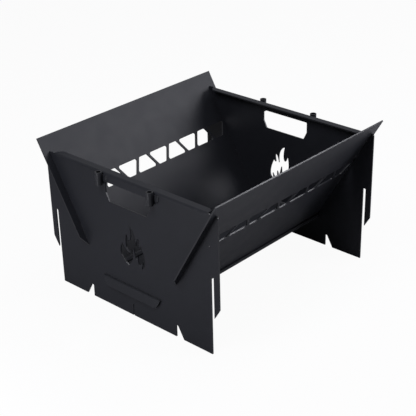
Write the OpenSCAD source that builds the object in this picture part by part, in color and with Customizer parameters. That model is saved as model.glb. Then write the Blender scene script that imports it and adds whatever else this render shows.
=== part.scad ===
// Folding fire pit: two end panels, two sloping side panels, a floor tray and four grate sockets,
// all of black coated sheet steel, slotted together without tools.
// +X runs along the side panels to the rear end panel, +Y is the left side, +Z is up, and the
// origin lies on the ground under the middle of the pit.

/* [Sheet and clearances] */
// Thickness of every panel and of the tray
sheet = 2.5; // [1.5:0.1:4]
// Gap left where two loose sheets seat on each other
seat_gap = 0.3; // [0.2:0.05:0.6]
// Gap on each face of an end panel inside the side panels' lap slits
lap_gap = 1.2; // [0.6:0.1:2]
// Radius inside a bent sheet
bend_inner = 1.5; // [1:0.1:3]

/* [End panels] */
// Distance over the outer faces of the two end panels
span = 435; // [380:1:520]
// Width of the standing part of an end panel
stance_w = 381.5; // [340:1:440]
// Height of an end panel
end_h = 268.5; // [240:1:300]
// Depth of the flange turned inwards along the top edge
flange_depth = 16; // [10:0.5:20]
// Radius of the flange's corners, seen from above
flange_corner_r = 12; // [4:0.5:13]
// Radius of the top corners beside the slanted slots
top_corner_r = 8; // [4:0.5:12]
// Width of the slit that sets each edge strip apart
slit_w = 6; // [4:0.5:14]
// Height of the closed upper end of the slits
slit_top = 153; // [130:1:165]
// Width of the edge strip outside each slit
strip_w = 12; // [7:0.5:14]
// Height of the edge strip's outer lower corner
strip_foot = 94; // [80:0.5:110]
// How much lower the edge strip's inner corner is
strip_point = 20; // [8:0.5:22]
// Height of the horns outside the slanted slots
horn_top = 268; // [250:1:268]
// Radius of the horns' outer corners
horn_r = 3.5; // [2:0.5:8]
// Diameter of the hanging hole in one leg
hang_hole_d = 3; // [2:0.5:8]
// Height of the hanging hole
hang_hole_z = 209; // [195:1:215]

/* [Foot edge] */
// Distance from the middle to the upright side of a foot notch
notch_y = 106; // [80:1:120]
// Width of a foot notch at the ground
notch_w = 18; // [12:1:30]
// Width of a foot notch at its flat top
notch_top_w = 4.5; // [4:0.5:10]
// Height of the foot notches and of the middle slit
notch_h = 24; // [14:0.5:30]
// Width of the middle slit
middle_slit_w = 2.2; // [1.5:0.1:6]

/* [Hand slot] */
// Width of the hand slot
hand_w = 108; // [90:1:125]
// Height of the hand slot's lower edge
hand_low = 214.5; // [205:0.5:225]
// Height of the hand slot's upper edge
hand_high = 251.5; // [245:0.5:255]
// Width of the slant at the hand slot's lower corners
hand_slant_w = 8; // [3:0.5:14]
// Height of the slant at the hand slot's lower corners
hand_slant_h = 16; // [8:0.5:24]

/* [Flame opening] */
// Height of the flame's lowest point
flame_z = 98; // [88:1:105]
// Height of the flame
flame_h = 86; // [60:1:100]
// Width of the flame
flame_w = 62; // [40:1:66]
// Distance of the flame's middle from the panel's middle
flame_shift = 5; // [0:1:10]

/* [Side panels] */
// How far a side panel's tongues stand out past the end panels
tongue_w = 13.5; // [6:0.5:40]
// Width of the mouth between the side panels' upper edges
mouth_w = 430.5; // [400:1:470]
// Height of the side panels' upper edges
mouth_h = 293.5; // [280:0.5:310]
// Slope of the side panels against the ground, in degrees
slope = 60; // [56:0.5:64]
// Gap above a side panel in the slanted slots of the end panels
slot_gap = 0.8; // [0.3:0.1:4]
// Distance down the slope to the seats where the side panels hang
lap_seat = 172; // [150:1:190]
// Distance down the slope to the points of the tongues outside the end panels
tongue_len = 214; // [195:1:225]
// Length of the slanted lead at the foot of each tongue
tongue_lead = 19.5; // [8:0.5:24]
// Width of the flange turned inwards along a side panel's foot
foot_w = 10; // [5:0.5:12]

/* [Vents] */
// Openings in each side panel's row
vent_count = 10; // [4:2:10]
// Distance from the end panels' outer faces to the ends of the row
vent_margin = 10; // [8:0.5:40]
// Distance down the slope to the upper edge of the row
vent_top = 105.4; // [80:0.5:120]
// Height of an opening along the slope
vent_h = 28.2; // [20:0.5:40]
// Width of the webs between the openings
vent_web = 5; // [3:0.1:10]
// Lean of the openings' sides, in degrees from the line up the slope
vent_lean = 29; // [10:1:32]
// Corner radius of the openings
vent_r = 3.5; // [1:0.5:5]

/* [Tray] */
// Height of the tray's floor
floor_z = 59.2; // [50:0.5:66]
// Height of the tray's turned-up edges above its floor
tray_edge = 5.5; // [4:0.5:12]
// Gap between the tray's turned-up edges and the side panels' outer faces
tray_gap = 0.6; // [0.4:0.1:2]
// Width of the hooked lips at the tray's ends
lip_w = 140; // [100:1:150]
// How far a lip hangs below the tray's floor
lip_drop = 17; // [10:0.5:24]
// How much narrower each end of a lip is at its foot
lip_taper = 8; // [0:0.5:12]
// Slope of the hanging part of a lip, in degrees below level
lip_slope = 82; // [70:1:90]
// Gap beside the lips in the end panels' slots
lip_side_gap = 2.5; // [0.5:0.5:4]
// Gap above the lips in the end panels' slots
lip_top_gap = 2.4; // [1:0.1:6]

/* [Grate sockets] */
// Distance from the middle to a socket's axis
socket_y = 62.5; // [61:0.5:80]
// Bore of a socket
socket_bore = 8.5; // [6:0.5:10]
// Wall of a socket
socket_wall = 2; // [1:0.1:2.5]
// Height of a socket's mouth
socket_top = 270; // [266:0.5:275]
// Length of a socket
socket_len = 24.5; // [20:0.5:34]
// Distance from a socket's axis to the end of its weld tail
tail_reach = 12.5; // [11:0.5:16]
// Height of the weld tail
tail_h = 12; // [6:0.5:12]

/* [Hidden] */
$fn = 48;

coat = "#2b2c31";
tray_coat = "#26272b";
socket_coat = "#303136";

// Steps in the arc of a rounded corner and in one curve of the flame
arc_steps = 6;
flame_steps = 9;
// How far the inner flame runs into the panel below, as a share of the flame's height
flame_root = 0.05;
// Small radii at cut corners
cut_r = 2.5;
narrow_cut_r = 2;
// How far a cut runs past the sheet or the edge that it opens
past = 20;

outer_x = span / 2;
inner_x = outer_x - sheet;
main_half = stance_w / 2;
slit_out = main_half + slit_w;
panel_half = slit_out + strip_w;
bend_outer = bend_inner + sheet;

// Distance of a side panel's two faces from the middle plane at a height
function inner_face_y(z) = mouth_w / 2 - (mouth_h - z) / tan(slope);
function outer_face_y(z) = inner_face_y(z) + sheet / sin(slope);

// The hanging hole lies half way between the slanted slot and the panel's outer edge
hang_hole_y = (outer_face_y(hang_hole_z) + panel_half) / 2;

// Where the slanted slot's upper wall meets the top edge, and where the flange ends before it
slot_mouth_y = inner_face_y(end_h) - slot_gap / sin(slope);
flange_half = slot_mouth_y - top_corner_r / tan(slope / 2);

panel_len = span + 2 * tongue_w;
slit_inner = inner_x - lap_gap;

// A side panel hangs from its lap seats, and the flange at its foot ends just above the tray's floor
// Distances down the slope to the corner of the foot and to where its bend begins
foot_len = (mouth_h - floor_z - seat_gap - sheet) / sin(slope);
foot_bend = foot_len - bend_outer;

// The tray's long edges turn straight up outside the side panels
tray_wall_y = outer_face_y(floor_z + tray_edge) + tray_gap;
tray_end_x = slit_inner;

// The lips leave the slots level and bend down clear of the outer faces
lip_slot_low = floor_z - sheet - seat_gap;
lip_slot_top = floor_z + lip_top_gap;
lip_bend_x = outer_x + seat_gap + bend_outer * tan(lip_slope / 2);

// The openings share the row, and a web is left between each one and the next
vent_pitch = (span - 2 * vent_margin) / vent_count;
vent_mid_w = vent_pitch - vent_web / cos(vent_lean);

socket_r = socket_bore / 2 + socket_wall;
tail_top = end_h - bend_outer - seat_gap;
tail_low = tail_top - tail_h;

function unit(v) = v / norm(v);

// Arc that rounds the corner c between the points a and b with radius r
function corner_arc(a, c, b, r) =
    let (
        u = unit(a - c),
        v = unit(b - c),
        half = acos(u * v) / 2,
        mid = c + unit(u + v) * r / sin(half),
        from = c + u * r / tan(half) - mid,
        to = c + v * r / tan(half) - mid,
        start = atan2(from.y, from.x),
        turn = atan2(from.x * to.y - from.y * to.x, from * to)
    )
    [
        for (i = [0:arc_steps])
            let (angle = start + turn * i / arc_steps)
            mid + r * [cos(angle), sin(angle)]
    ];

// Outline from corners given as [x, y, radius]
function rounded(corners) =
    let (n = len(corners))
    [
        for (i = [0:n - 1])
            let (
                a = corners[(i + n - 1) % n],
                c = corners[i],
                b = corners[(i + 1) % n]
            )
            each c[2] > 0
                ? corner_arc([a.x, a.y], [c.x, c.y], [b.x, b.y], c[2])
                : [[c.x, c.y]]
    ];

// The same corners on the other side, in the order that closes the outline
function mirrored(corners) = [
    for (i = [len(corners) - 1:-1:0])
        [-corners[i].x, corners[i].y, corners[i][2]]
];

// Points along joined cubic curves: a start, then two handles and an end for each curve. The last
// end is left out.
function curves(p) = [
    for (k = [0:3:len(p) - 4], i = [0:flame_steps - 1])
        let (t = i / flame_steps, s = 1 - t)
        s ^ 3 * p[k] + 3 * s ^ 2 * t * p[k + 1] + 3 * s * t ^ 2 * p[k + 2] + t ^ 3 * p[k + 3]
];

// Both halves of a shape that is the same on the left and the right of the panel
module both_sides() {
    children();
    mirror([1, 0]) children();
}

// A plain flame of five tongues, one unit wide and one unit high, standing on the origin
flame_outline = curves([
    [0.05, 0],
    [0.21, 0.05], [0.49, 0.16], [0.49, 0.33],
    [0.49, 0.42], [0.43, 0.48], [0.38, 0.54],
    [0.38, 0.46], [0.24, 0.36], [0.08, 0.37],
    [0.2, 0.37], [0.25, 0.43], [0.255, 0.53],
    [0.26, 0.63], [0.24, 0.72], [0.215, 0.77],
    [0.165, 0.76], [0.165, 0.655], [0.11, 0.645],
    [0.01, 0.665], [0.04, 0.9], [0.09, 1],
    [-0.12, 0.94], [-0.18, 0.77], [-0.14, 0.575],
    [-0.16, 0.635], [-0.18, 0.725], [-0.265, 0.78],
    [-0.33, 0.735], [-0.27, 0.635], [-0.275, 0.57],
    [-0.31, 0.575], [-0.34, 0.595], [-0.345, 0.63],
    [-0.41, 0.55], [-0.51, 0.39], [-0.51, 0.25],
    [-0.51, 0.12], [-0.21, 0], [0.05, 0],
]);

// The solid flame of three thin tongues that rises inside it
inner_flame = curves([
    [0.21, 0.02],
    [0.12, 0.1], [0, 0.18], [-0.024, 0.3],
    [-0.03, 0.36], [-0.035, 0.43], [-0.042, 0.49],
    [-0.08, 0.43], [-0.09, 0.31], [-0.145, 0.255],
    [-0.17, 0.26], [-0.19, 0.31], [-0.216, 0.345],
    [-0.225, 0.3], [-0.21, 0.17], [-0.245, 0.155],
    [-0.29, 0.14], [-0.345, 0.18], [-0.405, 0.258],
    [-0.395, 0.19], [-0.36, 0.11], [-0.32, 0.02],
]);

// The inner flame with its root in the panel below
function rooted(inner) =
    let (root = [inner[0].x, -flame_root], end = [inner[len(inner) - 1].x, -flame_root])
    [root, each inner, end];

module flame_shape(outline) {
    polygon([for (p = outline) [p.x * flame_w, p.y * flame_h]]);
}

module flame() {
    difference() {
        flame_shape(flame_outline);
        flame_shape(rooted(inner_flame));
    }
}

// Hand slot with slanted lower corners
module hand_slot() {
    half = hand_w / 2;
    polygon(rounded([
        [half, hand_high, cut_r],
        [-half, hand_high, cut_r],
        [-half, hand_low + hand_slant_h, cut_r],
        [-half + hand_slant_w, hand_low, cut_r],
        [half - hand_slant_w, hand_low, cut_r],
        [half, hand_low + hand_slant_h, cut_r],
    ]));
}

// Slanted slot that a side panel slides into from above, closed at its seat
module slanted_slot() {
    translate([mouth_w / 2, mouth_h])
        rotate(slope)
            polygon(rounded([
                [past, -sheet - seat_gap, 0],
                [past, slot_gap, 0],
                [-lap_seat - seat_gap, slot_gap, 0],
                [-lap_seat - seat_gap, -sheet - seat_gap, 0],
            ]));
}

// Everything above the top edge, with the rounded corner that leads into the slanted slot
module above_top_edge() {
    slot_low_z = end_h - past;
    slot_low_y = slot_mouth_y - past / tan(slope);
    outline = rounded([
        [slot_low_y, slot_low_z, 0],
        [slot_mouth_y, end_h, top_corner_r],
        [0, end_h, 0],
        [0, end_h - 2 * past, 0],
        [slot_low_y, end_h - 2 * past, 0],
    ]);
    difference() {
        translate([0, slot_low_z]) square([slot_mouth_y + past, 3 * past]);
        polygon(outline);
        polygon(rounded([
            [outer_face_y(slot_low_z), slot_low_z, 0],
            [panel_half, slot_low_z, 0],
            [panel_half, horn_top, horn_r],
            [outer_face_y(slot_low_z), horn_top, 0],
        ]));
    }
}

// Slit beside an edge strip, with the space under the strip's slanted foot
module edge_slit() {
    polygon(rounded([
        [main_half, -past, 0],
        [main_half, slit_top, narrow_cut_r],
        [slit_out, slit_top, narrow_cut_r],
        [slit_out, strip_foot - strip_point, 0],
        [panel_half, strip_foot, 0],
        [panel_half + past, strip_foot, 0],
        [panel_half + past, -past, 0],
    ]));
}

// Foot notch with an upright inner side and a slanted outer side
module foot_notch() {
    polygon(rounded([
        [notch_y, -past, 0],
        [notch_y, notch_h, narrow_cut_r],
        [notch_y + notch_top_w, notch_h, narrow_cut_r],
        [notch_y + notch_w, 0, 0],
        [notch_y + notch_w, -past, 0],
    ]));
}

// Outline of an end panel, seen from outside the front with the ground at zero
module end_panel_outline() {
    difference() {
        translate([-panel_half, 0]) square([2 * panel_half, end_h]);
        both_sides() {
            slanted_slot();
            above_top_edge();
            edge_slit();
            foot_notch();
        }
        translate([-hang_hole_y, hang_hole_z]) circle(d = hang_hole_d);
        translate([-middle_slit_w / 2, -past]) square([middle_slit_w, past + notch_h]);
        translate([-lip_w / 2 - lip_side_gap, lip_slot_low])
            square([lip_w + 2 * lip_side_gap, lip_slot_top - lip_slot_low]);
        hand_slot();
        translate([-flame_shift, flame_z]) flame();
    }
}

// Section of the top flange and its bend, from the outer face at zero inwards
module flange_section() {
    polygon(rounded([
        [0, end_h - bend_outer, 0],
        [0, end_h, bend_outer],
        [flange_depth, end_h, 0],
        [flange_depth, end_h - sheet, 0],
        [sheet, end_h - sheet, bend_inner],
        [sheet, end_h - bend_outer, 0],
    ]));
}

// Flange along the top edge, with rounded corners
module top_flange() {
    intersection() {
        rotate([90, 0, 0]) linear_extrude(2 * flange_half, center = true) flange_section();
        translate([0, 0, end_h - past])
            linear_extrude(2 * past)
                polygon(rounded([
                    [0, -flange_half, 0],
                    [flange_depth, -flange_half, flange_corner_r],
                    [flange_depth, flange_half, flange_corner_r],
                    [0, flange_half, 0],
                ]));
    }
}

// End panel with its outer face at x = 0 and its flange towards +x
module end_panel() {
    difference() {
        rotate([90, 0, 90]) linear_extrude(sheet) end_panel_outline();
        translate([-past, -flange_half, end_h - bend_outer]) cube([2 * past, 2 * flange_half, past]);
    }
    top_flange();
}

module front_panel() {
    color(coat) translate([-outer_x, 0, 0]) end_panel();
}

module rear_panel() {
    color(coat) rotate([0, 0, 180]) translate([-outer_x, 0, 0]) end_panel();
}

// One opening of the vent row, widest above (side = 1) or below (side = -1)
module vent(side) {
    lean = side * vent_h / 2 * tan(vent_lean);
    half = vent_mid_w / 2;
    polygon(rounded([
        [half + lean, vent_h / 2, vent_r],
        [-half - lean, vent_h / 2, vent_r],
        [-half + lean, -vent_h / 2, vent_r],
        [half - lean, -vent_h / 2, vent_r],
    ]));
}

module vent_row() {
    for (i = [0:vent_count - 1])
        translate([(i - (vent_count - 1) / 2) * vent_pitch, -vent_top - vent_h / 2])
            vent(i % 2 == 0 ? -1 : 1);
}

// Outline of a side panel down to the bend of its foot: at each end the tongue outside the end panel
// and the lap slit. The upper edge is at zero and the slope runs down along -y.
module side_panel_outline() {
    end_x = panel_len / 2;
    slit_outer = outer_x + lap_gap;
    rear_end = [
        [slit_inner, -foot_bend, 0],
        [slit_inner, -lap_seat, 0],
        [slit_outer, -lap_seat, 0],
        [slit_outer, -tongue_len, 0],
        [end_x, tongue_lead - tongue_len, cut_r],
        [end_x, 0, 0],
    ];
    polygon(rounded(concat(rear_end, mirrored(rear_end))));
}

// Section of the bend and the level flange at a side panel's foot, along the slope and across it
module foot_section() {
    tip = [-foot_len - foot_w * cos(slope), foot_w * sin(slope)];
    polygon(rounded([
        [-foot_bend, 0, 0],
        [-foot_len, 0, bend_inner],
        [tip.x, tip.y, 0],
        [tip.x - sheet * sin(slope), tip.y - sheet * cos(slope), 0],
        [-foot_len - sheet * tan(slope / 2), -sheet, bend_outer],
        [-foot_bend, -sheet, 0],
    ]));
}

// Side panel on the left, resting in the slanted slots
module side_panel() {
    translate([0, mouth_w / 2, mouth_h])
        rotate([slope, 0, 0]) {
            translate([0, 0, -sheet])
                linear_extrude(sheet)
                    difference() {
                        side_panel_outline();
                        vent_row();
                    }
            rotate([90, 0, 90]) linear_extrude(2 * slit_inner, center = true) foot_section();
        }
}

module left_side_panel() {
    color(coat) side_panel();
}

module right_side_panel() {
    color(coat) mirror([0, 1, 0]) side_panel();
}

// Section of the tray across its length, with the long edges turned up
module tray_section() {
    left = [
        [tray_wall_y + sheet, floor_z - sheet, bend_outer],
        [tray_wall_y + sheet, floor_z + tray_edge, 0],
        [tray_wall_y, floor_z + tray_edge, 0],
        [tray_wall_y, floor_z, bend_inner],
    ];
    polygon(rounded(concat(left, mirrored(left))));
}

// Section of the hooked lip at the tray's end, from the floor out and down
module lip_section() {
    under_bend_x = lip_bend_x - sheet * tan(lip_slope / 2);
    foot_x = lip_bend_x + lip_drop / tan(lip_slope);
    under_foot_x = under_bend_x + (lip_drop - sheet) / tan(lip_slope);
    polygon(rounded([
        [tray_end_x - past, floor_z, 0],
        [lip_bend_x, floor_z, bend_outer],
        [foot_x, floor_z - lip_drop, 0],
        [under_foot_x, floor_z - lip_drop, 0],
        [under_bend_x, floor_z - sheet, bend_inner],
        [tray_end_x - past, floor_z - sheet, 0],
    ]));
}

// Front view of a lip, narrower at its foot
module lip_front() {
    half = lip_w / 2;
    foot_half = half - lip_taper;
    polygon(rounded([
        [half, floor_z + past, 0],
        [-half, floor_z + past, 0],
        [-half, floor_z - bend_outer, 0],
        [-foot_half, floor_z - lip_drop, cut_r],
        [foot_half, floor_z - lip_drop, cut_r],
        [half, floor_z - bend_outer, 0],
    ]));
}

module hooked_lip() {
    intersection() {
        rotate([90, 0, 0]) linear_extrude(lip_w, center = true) lip_section();
        rotate([90, 0, 90]) linear_extrude(span) lip_front();
    }
}

module fire_tray() {
    color(tray_coat) {
        rotate([90, 0, 90]) linear_extrude(2 * tray_end_x, center = true) tray_section();
        for (turn = [0, 180])
            rotate([0, 0, turn]) hooked_lip();
    }
}

// Socket rolled from a strip: a tube whose tail lies flat on the panel's outer face at x = 0
module grate_socket() {
    socket_low = socket_top - socket_len;
    translate([-socket_r, 0, 0])
        difference() {
            union() {
                translate([0, 0, socket_low]) cylinder(h = socket_len, r = socket_r);
                translate([socket_r - socket_wall, -tail_reach, tail_low])
                    cube([socket_wall, tail_reach, tail_h]);
            }
            translate([0, 0, socket_low - past]) cylinder(h = socket_len + 2 * past, d = socket_bore);
        }
}

// Socket on the front (turn = 0) or rear (turn = 180) panel, on its own left or right
module placed_socket(turn, side) {
    color(socket_coat)
        rotate([0, 0, turn]) translate([-outer_x, side * socket_y, 0]) grate_socket();
}

module front_left_socket() {
    placed_socket(0, 1);
}

module front_right_socket() {
    placed_socket(0, -1);
}

module rear_left_socket() {
    placed_socket(180, -1);
}

module rear_right_socket() {
    placed_socket(180, 1);
}

front_panel();
rear_panel();
left_side_panel();
right_side_panel();
fire_tray();
front_left_socket();
front_right_socket();
rear_left_socket();
rear_right_socket();
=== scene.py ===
"""Folding fire pit, dressed for its picture: powder coat on every sheet, softened cut edges and weld beads.

Places and sizes are in metres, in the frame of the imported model. A name that ends in _mm is in millimetres.
"""

import math

import bmesh
import bpy
from mathutils import Matrix, Vector
from mathutils.bvhtree import BVHTree


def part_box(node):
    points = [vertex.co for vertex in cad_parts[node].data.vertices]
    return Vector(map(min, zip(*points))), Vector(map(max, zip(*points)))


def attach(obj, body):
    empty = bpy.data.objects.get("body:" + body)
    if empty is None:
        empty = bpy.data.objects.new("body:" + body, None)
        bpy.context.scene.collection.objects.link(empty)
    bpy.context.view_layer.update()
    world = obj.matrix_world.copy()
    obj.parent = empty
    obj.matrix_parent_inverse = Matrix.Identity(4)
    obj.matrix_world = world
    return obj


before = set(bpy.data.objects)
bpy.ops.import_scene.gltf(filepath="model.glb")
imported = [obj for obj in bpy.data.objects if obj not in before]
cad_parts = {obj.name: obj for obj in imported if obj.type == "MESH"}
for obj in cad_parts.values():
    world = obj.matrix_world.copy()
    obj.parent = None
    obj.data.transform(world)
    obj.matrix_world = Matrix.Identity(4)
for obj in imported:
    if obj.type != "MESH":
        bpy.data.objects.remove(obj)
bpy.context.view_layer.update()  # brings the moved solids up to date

MM = 0.001
SKIN = 0.01 * MM  # just under a face
FLUSH = 0.1 * MM  # places closer than this count as one

PIT_MIDDLE = Vector((0.0, 0.0, 0.150))  # what the camera and the lamps face

# Picture frame and lens, both square
FRAME_PIXELS = 416
SENSOR_MM = 36.0

# Where the camera stands: turned and raised about the pit's middle, with a slight roll and offset
CAMERA_TURN = math.radians(-47.195)
CAMERA_RAISE = math.radians(26.846)
CAMERA_ROLL = math.radians(-1.417)
CAMERA_DISTANCE = 2.0126
CAMERA_OFFSET = (0.00933, 0.01543)
FOCAL_PIXELS = 1070.3

# Cut edges: the laser leaves them sharp, and they are tumbled round before the sheet is coated. A face is a
# cut edge where no other face lies within the cut depth behind it, which is more than the sheet's thickness.
CUT_DEPTH = 3.0 * MM
EDGE_ROUND = 0.4 * MM
EDGE_STEPS = 2
EDGE_ANGLE = math.radians(32)  # an edge that turns more than this is rounded
FLAT_ANGLE = math.radians(0.5)  # faces that turn less than this are one face

# Weld beads: pools of metal laid one over the other, sunk a little into the sheet that carries them
POOL_PITCH = 2.4 * MM
POOL_DIP = 0.14  # how much thinner a bead is between two pools, as a share
BEAD_END = 0.3  # what is left of its size at its very ends, as a share
BEAD_STEPS_PER_POOL = 6
BEAD_SIDES = 10
BEAD_SINK = 0.3 * MM
TAIL_BEAD = (2.6 * MM, 2.3 * MM)  # half width and height
SEAM_BEAD = (2.2 * MM, 1.9 * MM)
SEAM_SHARE = 0.62  # how far out from the tube's axis the seam lies, as a share of the tube's radius

SIDE_PANELS = ("left_side_panel", "right_side_panel")
END_PANELS = ("front_panel", "rear_panel")
SOCKETS = ("front_left_socket", "front_right_socket", "rear_left_socket", "rear_right_socket")


def linear(code):
    """Linear colour of an sRGB hex value such as "#2b2c31"."""
    shares = [int(code[i:i + 2], 16) / 255 for i in (1, 3, 5)]
    return (*[s / 12.92 if s <= 0.04045 else ((s + 0.055) / 1.055) ** 2.4 for s in shares], 1.0)


def add_node(tree, kind, inputs=None, **settings):
    """One node of that kind: settings are its properties, and each input takes a value or a link."""
    node = tree.nodes.new(kind)
    for name, value in settings.items():
        setattr(node, name, value)
    for name, value in (inputs or {}).items():
        if isinstance(value, bpy.types.NodeSocket):
            tree.links.new(value, node.inputs[name])
        else:
            node.inputs[name].default_value = value
    return node


def new_material(name):
    """An empty node material and its tree."""
    material = bpy.data.materials.new(name)
    material.use_nodes = True
    material.node_tree.nodes.clear()
    return material, material.node_tree


def grain(size_mm):
    """Texture scale at which one cell of a pattern is that large."""
    return 1 / (size_mm * MM)


# Powder coat

def powder_coat(name, thick, thin, roughness, specular, peel_mm=2.6, peel_depth_mm=0.02):
    """Semi-matt black powder coat: paint powder sprayed on sheet steel and baked until it flows.

    It gives the eye a soft, even sheen with a fine orange-peel ripple, faint clouds where the layer is a
    little thicker, and slow waves where the sheet itself isn't quite flat. A real ripple is about 1 mm
    wide; it is drawn at 2 to 2.6 mm, because a finer one doesn't show.
    """
    cloud_mm, wave_mm, wave_depth_mm = 34, 110, 0.12
    cloud_low, cloud_high = 0.3, 0.7  # between these lie nearly all values of the clouds
    sheen_spread = 0.03
    material, tree = new_material(name)
    place = add_node(tree, "ShaderNodeTexCoord").outputs["Object"]
    peel = add_node(tree, "ShaderNodeTexNoise",
                    {"Vector": place, "Scale": grain(peel_mm), "Detail": 2.0, "Roughness": 0.5})
    clouds = add_node(tree, "ShaderNodeTexNoise",
                      {"Vector": place, "Scale": grain(cloud_mm), "Detail": 4.0, "Roughness": 0.6})
    waves = add_node(tree, "ShaderNodeTexNoise",
                     {"Vector": place, "Scale": grain(wave_mm), "Detail": 1.0, "Roughness": 0.4})
    colour = add_node(tree, "ShaderNodeMix",
                      {"Factor": clouds.outputs["Fac"], 6: linear(thick), 7: linear(thin)},
                      data_type="RGBA")
    sheen = add_node(tree, "ShaderNodeMapRange",
                     {"Value": clouds.outputs["Fac"], "From Min": cloud_low, "From Max": cloud_high,
                      "To Min": roughness - sheen_spread, "To Max": roughness + sheen_spread})
    wavy = add_node(tree, "ShaderNodeBump",
                    {"Height": waves.outputs["Fac"], "Strength": 1.0, "Distance": wave_depth_mm * MM})
    rippled = add_node(tree, "ShaderNodeBump",
                       {"Height": peel.outputs["Fac"], "Strength": 1.0, "Distance": peel_depth_mm * MM,
                        "Normal": wavy.outputs["Normal"]})
    coat = add_node(tree, "ShaderNodeBsdfPrincipled",
                    {"Base Color": colour.outputs[2], "Roughness": sheen.outputs["Result"],
                     "Specular IOR Level": specular, "Normal": rippled.outputs["Normal"]})
    add_node(tree, "ShaderNodeOutputMaterial", {"Surface": coat.outputs["BSDF"]})
    return material


panel_coat = powder_coat("powder_coat_on_sheet_steel", "#18191c", "#1d1e22", roughness=0.43, specular=0.12)
edge_coat = powder_coat("thin_powder_coat_on_cut_edge", "#1a1b1d", "#202124", roughness=0.31, specular=0.2)
# The tray carries the panels' powder coat, painted a little lighter as painted light that lifts its shaded
# lips and floor.
tray_coat = powder_coat("powder_coat_on_tray_steel", "#1b1c1f", "#202124", roughness=0.46, specular=0.12)
socket_coat = powder_coat("powder_coat_on_rolled_strip", "#151619", "#1a1b1e", roughness=0.36, specular=0.2,
                          peel_mm=2.0)


# Sheets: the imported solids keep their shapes, and their cut edges get a small radius with a thin coat

def coat_solid(node, coat):
    """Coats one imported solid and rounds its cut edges, which carry a thinner coat."""
    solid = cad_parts[node]
    mesh = solid.data
    mesh.materials.clear()
    mesh.materials.append(coat)
    mesh.materials.append(edge_coat)
    mesh.shade_smooth()
    metal = BVHTree.FromPolygons([v.co for v in mesh.vertices], [f.vertices for f in mesh.polygons])
    for face in mesh.polygons:
        inside = face.center - face.normal * SKIN
        face.material_index = int(metal.ray_cast(inside, -face.normal, CUT_DEPTH)[0] is None)
    flat = solid.modifiers.new("whole_faces", "DECIMATE")
    flat.decimate_type = "DISSOLVE"
    flat.angle_limit = FLAT_ANGLE
    round_edges = solid.modifiers.new("round_cut_edges", "BEVEL")
    round_edges.width = EDGE_ROUND
    round_edges.segments = EDGE_STEPS
    round_edges.limit_method = "ANGLE"
    round_edges.angle_limit = EDGE_ANGLE
    round_edges.use_clamp_overlap = False
    round_edges.material = 1
    shading = solid.modifiers.new("flat_face_shading", "WEIGHTED_NORMAL")
    shading.keep_sharp = True


for node in END_PANELS + SIDE_PANELS:
    coat_solid(node, panel_coat)
coat_solid("fire_tray", tray_coat)
for node in SOCKETS:
    coat_solid(node, socket_coat)


# Weld beads that hold the rolled sockets: one at the end of each tail and one in the seam beside the tube

def weld_bead(name, low, high, outward, half_width, height):
    """A rippled bead of weld metal on a sheet's face, from its low end straight up to its high end."""
    run = (high - low).length
    along = (high - low).normalized()
    across = along.cross(outward)
    rings = round(run / POOL_PITCH * BEAD_STEPS_PER_POOL)
    shape = bmesh.new()
    loops = []
    for i in range(rings + 1):
        reach = run * i / rings
        to_end = min(1.0, max(0.0, min(reach, run - reach)) / half_width)
        swell = max(BEAD_END, math.sqrt(1 - (1 - to_end) ** 2))
        swell *= 1 - POOL_DIP * abs(math.sin(math.pi * reach / POOL_PITCH))
        loop = []
        for j in range(BEAD_SIDES + 1):
            angle = math.pi * j / BEAD_SIDES
            point = low + along * reach + across * (math.cos(angle) * half_width * swell)
            loop.append(shape.verts.new(point + outward * (math.sin(angle) * height * swell - BEAD_SINK)))
        loops.append(loop)
    for one, other in zip(loops, loops[1:]):
        for j in range(BEAD_SIDES + 1):
            k = (j + 1) % (BEAD_SIDES + 1)
            shape.faces.new((one[j], one[k], other[k], other[j])).smooth = k > 0
    shape.faces.new(loops[0])
    shape.faces.new(loops[-1])
    bmesh.ops.recalc_face_normals(shape, faces=shape.faces)
    mesh = bpy.data.meshes.new(name)
    shape.to_mesh(mesh)
    shape.free()
    mesh.materials.append(socket_coat)
    bead = bpy.data.objects.new(name, mesh)
    bpy.context.scene.collection.objects.link(bead)
    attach(bead, "stand")


def weld_socket(socket):
    """Both beads of one socket, placed by the socket's own box: the tail reaches further than the tube."""
    low, high = [Vector(corner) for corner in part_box(socket)]
    tube_r = (high.x - low.x) / 2
    front = low.x < 0
    outward = Vector((-1 if front else 1, 0, 0))
    face_x = high.x if front else low.x
    tail_side = -1 if front else 1
    tail_end = low.y if front else high.y
    axis_y = high.y - tube_r if front else low.y + tube_r
    tail_z = [v.co.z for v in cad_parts[socket].data.vertices if abs(v.co.y - tail_end) < FLUSH]
    weld_bead(socket.replace("socket", "tail_weld"), Vector((face_x, tail_end, min(tail_z))),
              Vector((face_x, tail_end, max(tail_z))), outward, *TAIL_BEAD)
    seam_y = axis_y - tail_side * tube_r * SEAM_SHARE
    weld_bead(socket.replace("socket", "seam_weld"), Vector((face_x, seam_y, low.z + SEAM_BEAD[0])),
              Vector((face_x, seam_y, max(tail_z))), outward, *SEAM_BEAD)


for node in SOCKETS:
    weld_socket(node)


# Floor, world and lamps

# Share of plain white that the camera sees in the floor, and that mirror-like or clear surfaces show of
# the floor and of the world
FLOOR_WHITE_SEEN = 0.95
FLOOR_WHITE_MIRRORED = 0.05
WORLD_WHITE_MIRRORED = 0.4
FLOOR_SIZE = 12.0
AMBIENT = 0.03  # strength of the world's even fill
LAMP_COLOUR = "#f8f8ff"  # daylight, slightly cool

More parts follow.
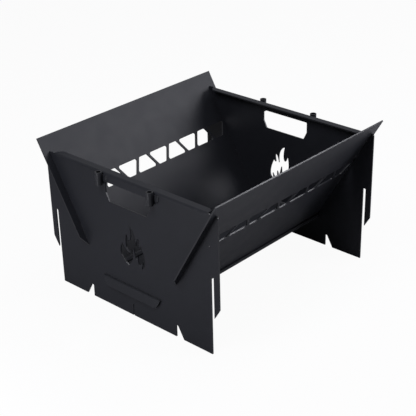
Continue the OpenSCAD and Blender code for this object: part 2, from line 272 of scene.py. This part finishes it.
# Softboxes: name, place, width and height, watts
SOFTBOXES = (
    ("rear_high_softbox", (1.4, -0.2, 1.75), (0.5, 0.5), 16),  # draws the pale line along the upper edges
    ("rear_right_softbox", (2.145, -2.31, 1.14), (1.8, 1.8), 112),  # lights both side panels from the right
    ("front_high_softbox", (-1.2, -0.2, 1.9), (1.0, 1.0), 34),  # lights rims, sockets and both end panels
    ("front_low_softbox", (-0.8, 0.06, 0.18), (0.2, 0.24), 2.0),  # lifts the front panel
    ("overhead_softbox", (0.2, 0.0, 2.2), (0.8, 0.8), 16),  # fills the fire bowl
)


def mirrored_white(tree, path, share):
    """That share for rays from mirror-like and clear surfaces, and nothing for other rays."""
    bounced = add_node(tree, "ShaderNodeMath",
                       {0: path["Is Glossy Ray"], 1: path["Is Transmission Ray"]}, operation="MAXIMUM")
    mirrored = add_node(tree, "ShaderNodeMath", {0: bounced.outputs[0], 1: share}, operation="MULTIPLY")
    return mirrored.outputs[0]


def studio_floor():
    """Matt pale grey studio paper: a diffuse surface that keeps the shadow, nearly white to the camera.

    It gives the eye a broad, barely visible drift in tone, as paper from a roll has.
    """
    drift_size = 10.8  # from one tone to the next; the pattern itself is measured in floor sizes
    material, tree = new_material("matt_studio_paper")
    path = add_node(tree, "ShaderNodeLightPath").outputs
    drift = add_node(tree, "ShaderNodeTexNoise", {"Scale": FLOOR_SIZE / drift_size, "Detail": 2.0})
    tone = add_node(tree, "ShaderNodeMix",
                    {"Factor": drift.outputs["Fac"], 6: linear("#aeaeb0"), 7: linear("#b4b4b6")},
                    data_type="RGBA")
    paper = add_node(tree, "ShaderNodeBsdfDiffuse", {"Color": tone.outputs[2]})
    white = add_node(tree, "ShaderNodeEmission", {"Color": (1, 1, 1, 1), "Strength": 1.0})
    seen = add_node(tree, "ShaderNodeMath", {0: path["Is Camera Ray"], 1: FLOOR_WHITE_SEEN},
                    operation="MULTIPLY")
    mirrored = mirrored_white(tree, path, FLOOR_WHITE_MIRRORED)
    share = add_node(tree, "ShaderNodeMath", {0: seen.outputs[0], 1: mirrored}, operation="MAXIMUM")
    mixed = add_node(tree, "ShaderNodeMixShader",
                     {0: share.outputs[0], 1: paper.outputs[0], 2: white.outputs[0]})
    add_node(tree, "ShaderNodeOutputMaterial", {"Surface": mixed.outputs[0]})

    mesh = bpy.data.meshes.new("studio_floor")
    half = FLOOR_SIZE / 2
    mesh.from_pydata([(-half, -half, 0), (half, -half, 0), (half, half, 0), (-half, half, 0)], [],
                     [(0, 1, 2, 3)])
    mesh.materials.append(material)
    floor = bpy.data.objects.new("studio_floor", mesh)
    bpy.context.scene.collection.objects.link(floor)


def white_world():
    """Plain white all round: full white where it is seen, and a low even fill for the rest."""
    world = bpy.data.worlds.new("white_studio")
    world.use_nodes = True
    tree = world.node_tree
    tree.nodes.clear()
    path = add_node(tree, "ShaderNodeLightPath").outputs
    mirrored = mirrored_white(tree, path, WORLD_WHITE_MIRRORED)
    seen = add_node(tree, "ShaderNodeMath", {0: path["Is Camera Ray"], 1: mirrored}, operation="MAXIMUM")
    strength = add_node(tree, "ShaderNodeMapRange",
                        {"Value": seen.outputs[0], "To Min": AMBIENT, "To Max": 1.0})
    light = add_node(tree, "ShaderNodeBackground",
                     {"Color": (1, 1, 1, 1), "Strength": strength.outputs["Result"]})
    add_node(tree, "ShaderNodeOutputWorld", {"Surface": light.outputs[0]})
    bpy.context.scene.world = world


def softbox(name, place, size, watts):
    """A rectangular softbox at a place, turned to face the pit's middle."""
    lamp = bpy.data.lights.new(name, "AREA")
    lamp.shape = "RECTANGLE"
    lamp.size, lamp.size_y = size
    lamp.energy = watts
    lamp.color = linear(LAMP_COLOUR)[:3]
    holder = bpy.data.objects.new(name, lamp)
    holder.location = place
    holder.rotation_euler = (PIT_MIDDLE - Vector(place)).to_track_quat("-Z", "Y").to_euler()
    holder.visible_camera = False  # it stands outside the picture
    bpy.context.scene.collection.objects.link(holder)


studio_floor()
white_world()
for row in SOFTBOXES:
    softbox(*row)


# Camera

def place_camera():
    """Stands the camera where the photograph was taken from."""
    turn, raised = CAMERA_TURN, CAMERA_RAISE
    ahead = Vector((-math.sin(turn) * math.cos(raised), math.cos(turn) * math.cos(raised), -math.sin(raised)))
    level = Vector((math.cos(turn), math.sin(turn), 0))
    upright = level.cross(ahead)
    across = level * math.cos(CAMERA_ROLL) + upright * math.sin(CAMERA_ROLL)
    upwards = upright * math.cos(CAMERA_ROLL) - level * math.sin(CAMERA_ROLL)
    aside, raise_by = CAMERA_OFFSET
    place = PIT_MIDDLE - ahead * CAMERA_DISTANCE - across * aside - upwards * raise_by

    lens = bpy.data.cameras.new("camera")
    lens.sensor_width = SENSOR_MM
    lens.lens = FOCAL_PIXELS / FRAME_PIXELS * SENSOR_MM
    camera = bpy.data.objects.new("camera", lens)
    camera.matrix_world = Matrix.Translation(place) @ Matrix((across, upwards, -ahead)).transposed().to_4x4()
    bpy.context.scene.collection.objects.link(camera)
    bpy.context.scene.camera = camera


place_camera()
bpy.context.scene.view_settings.view_transform = "Standard"

bpy.context.view_layer.update()
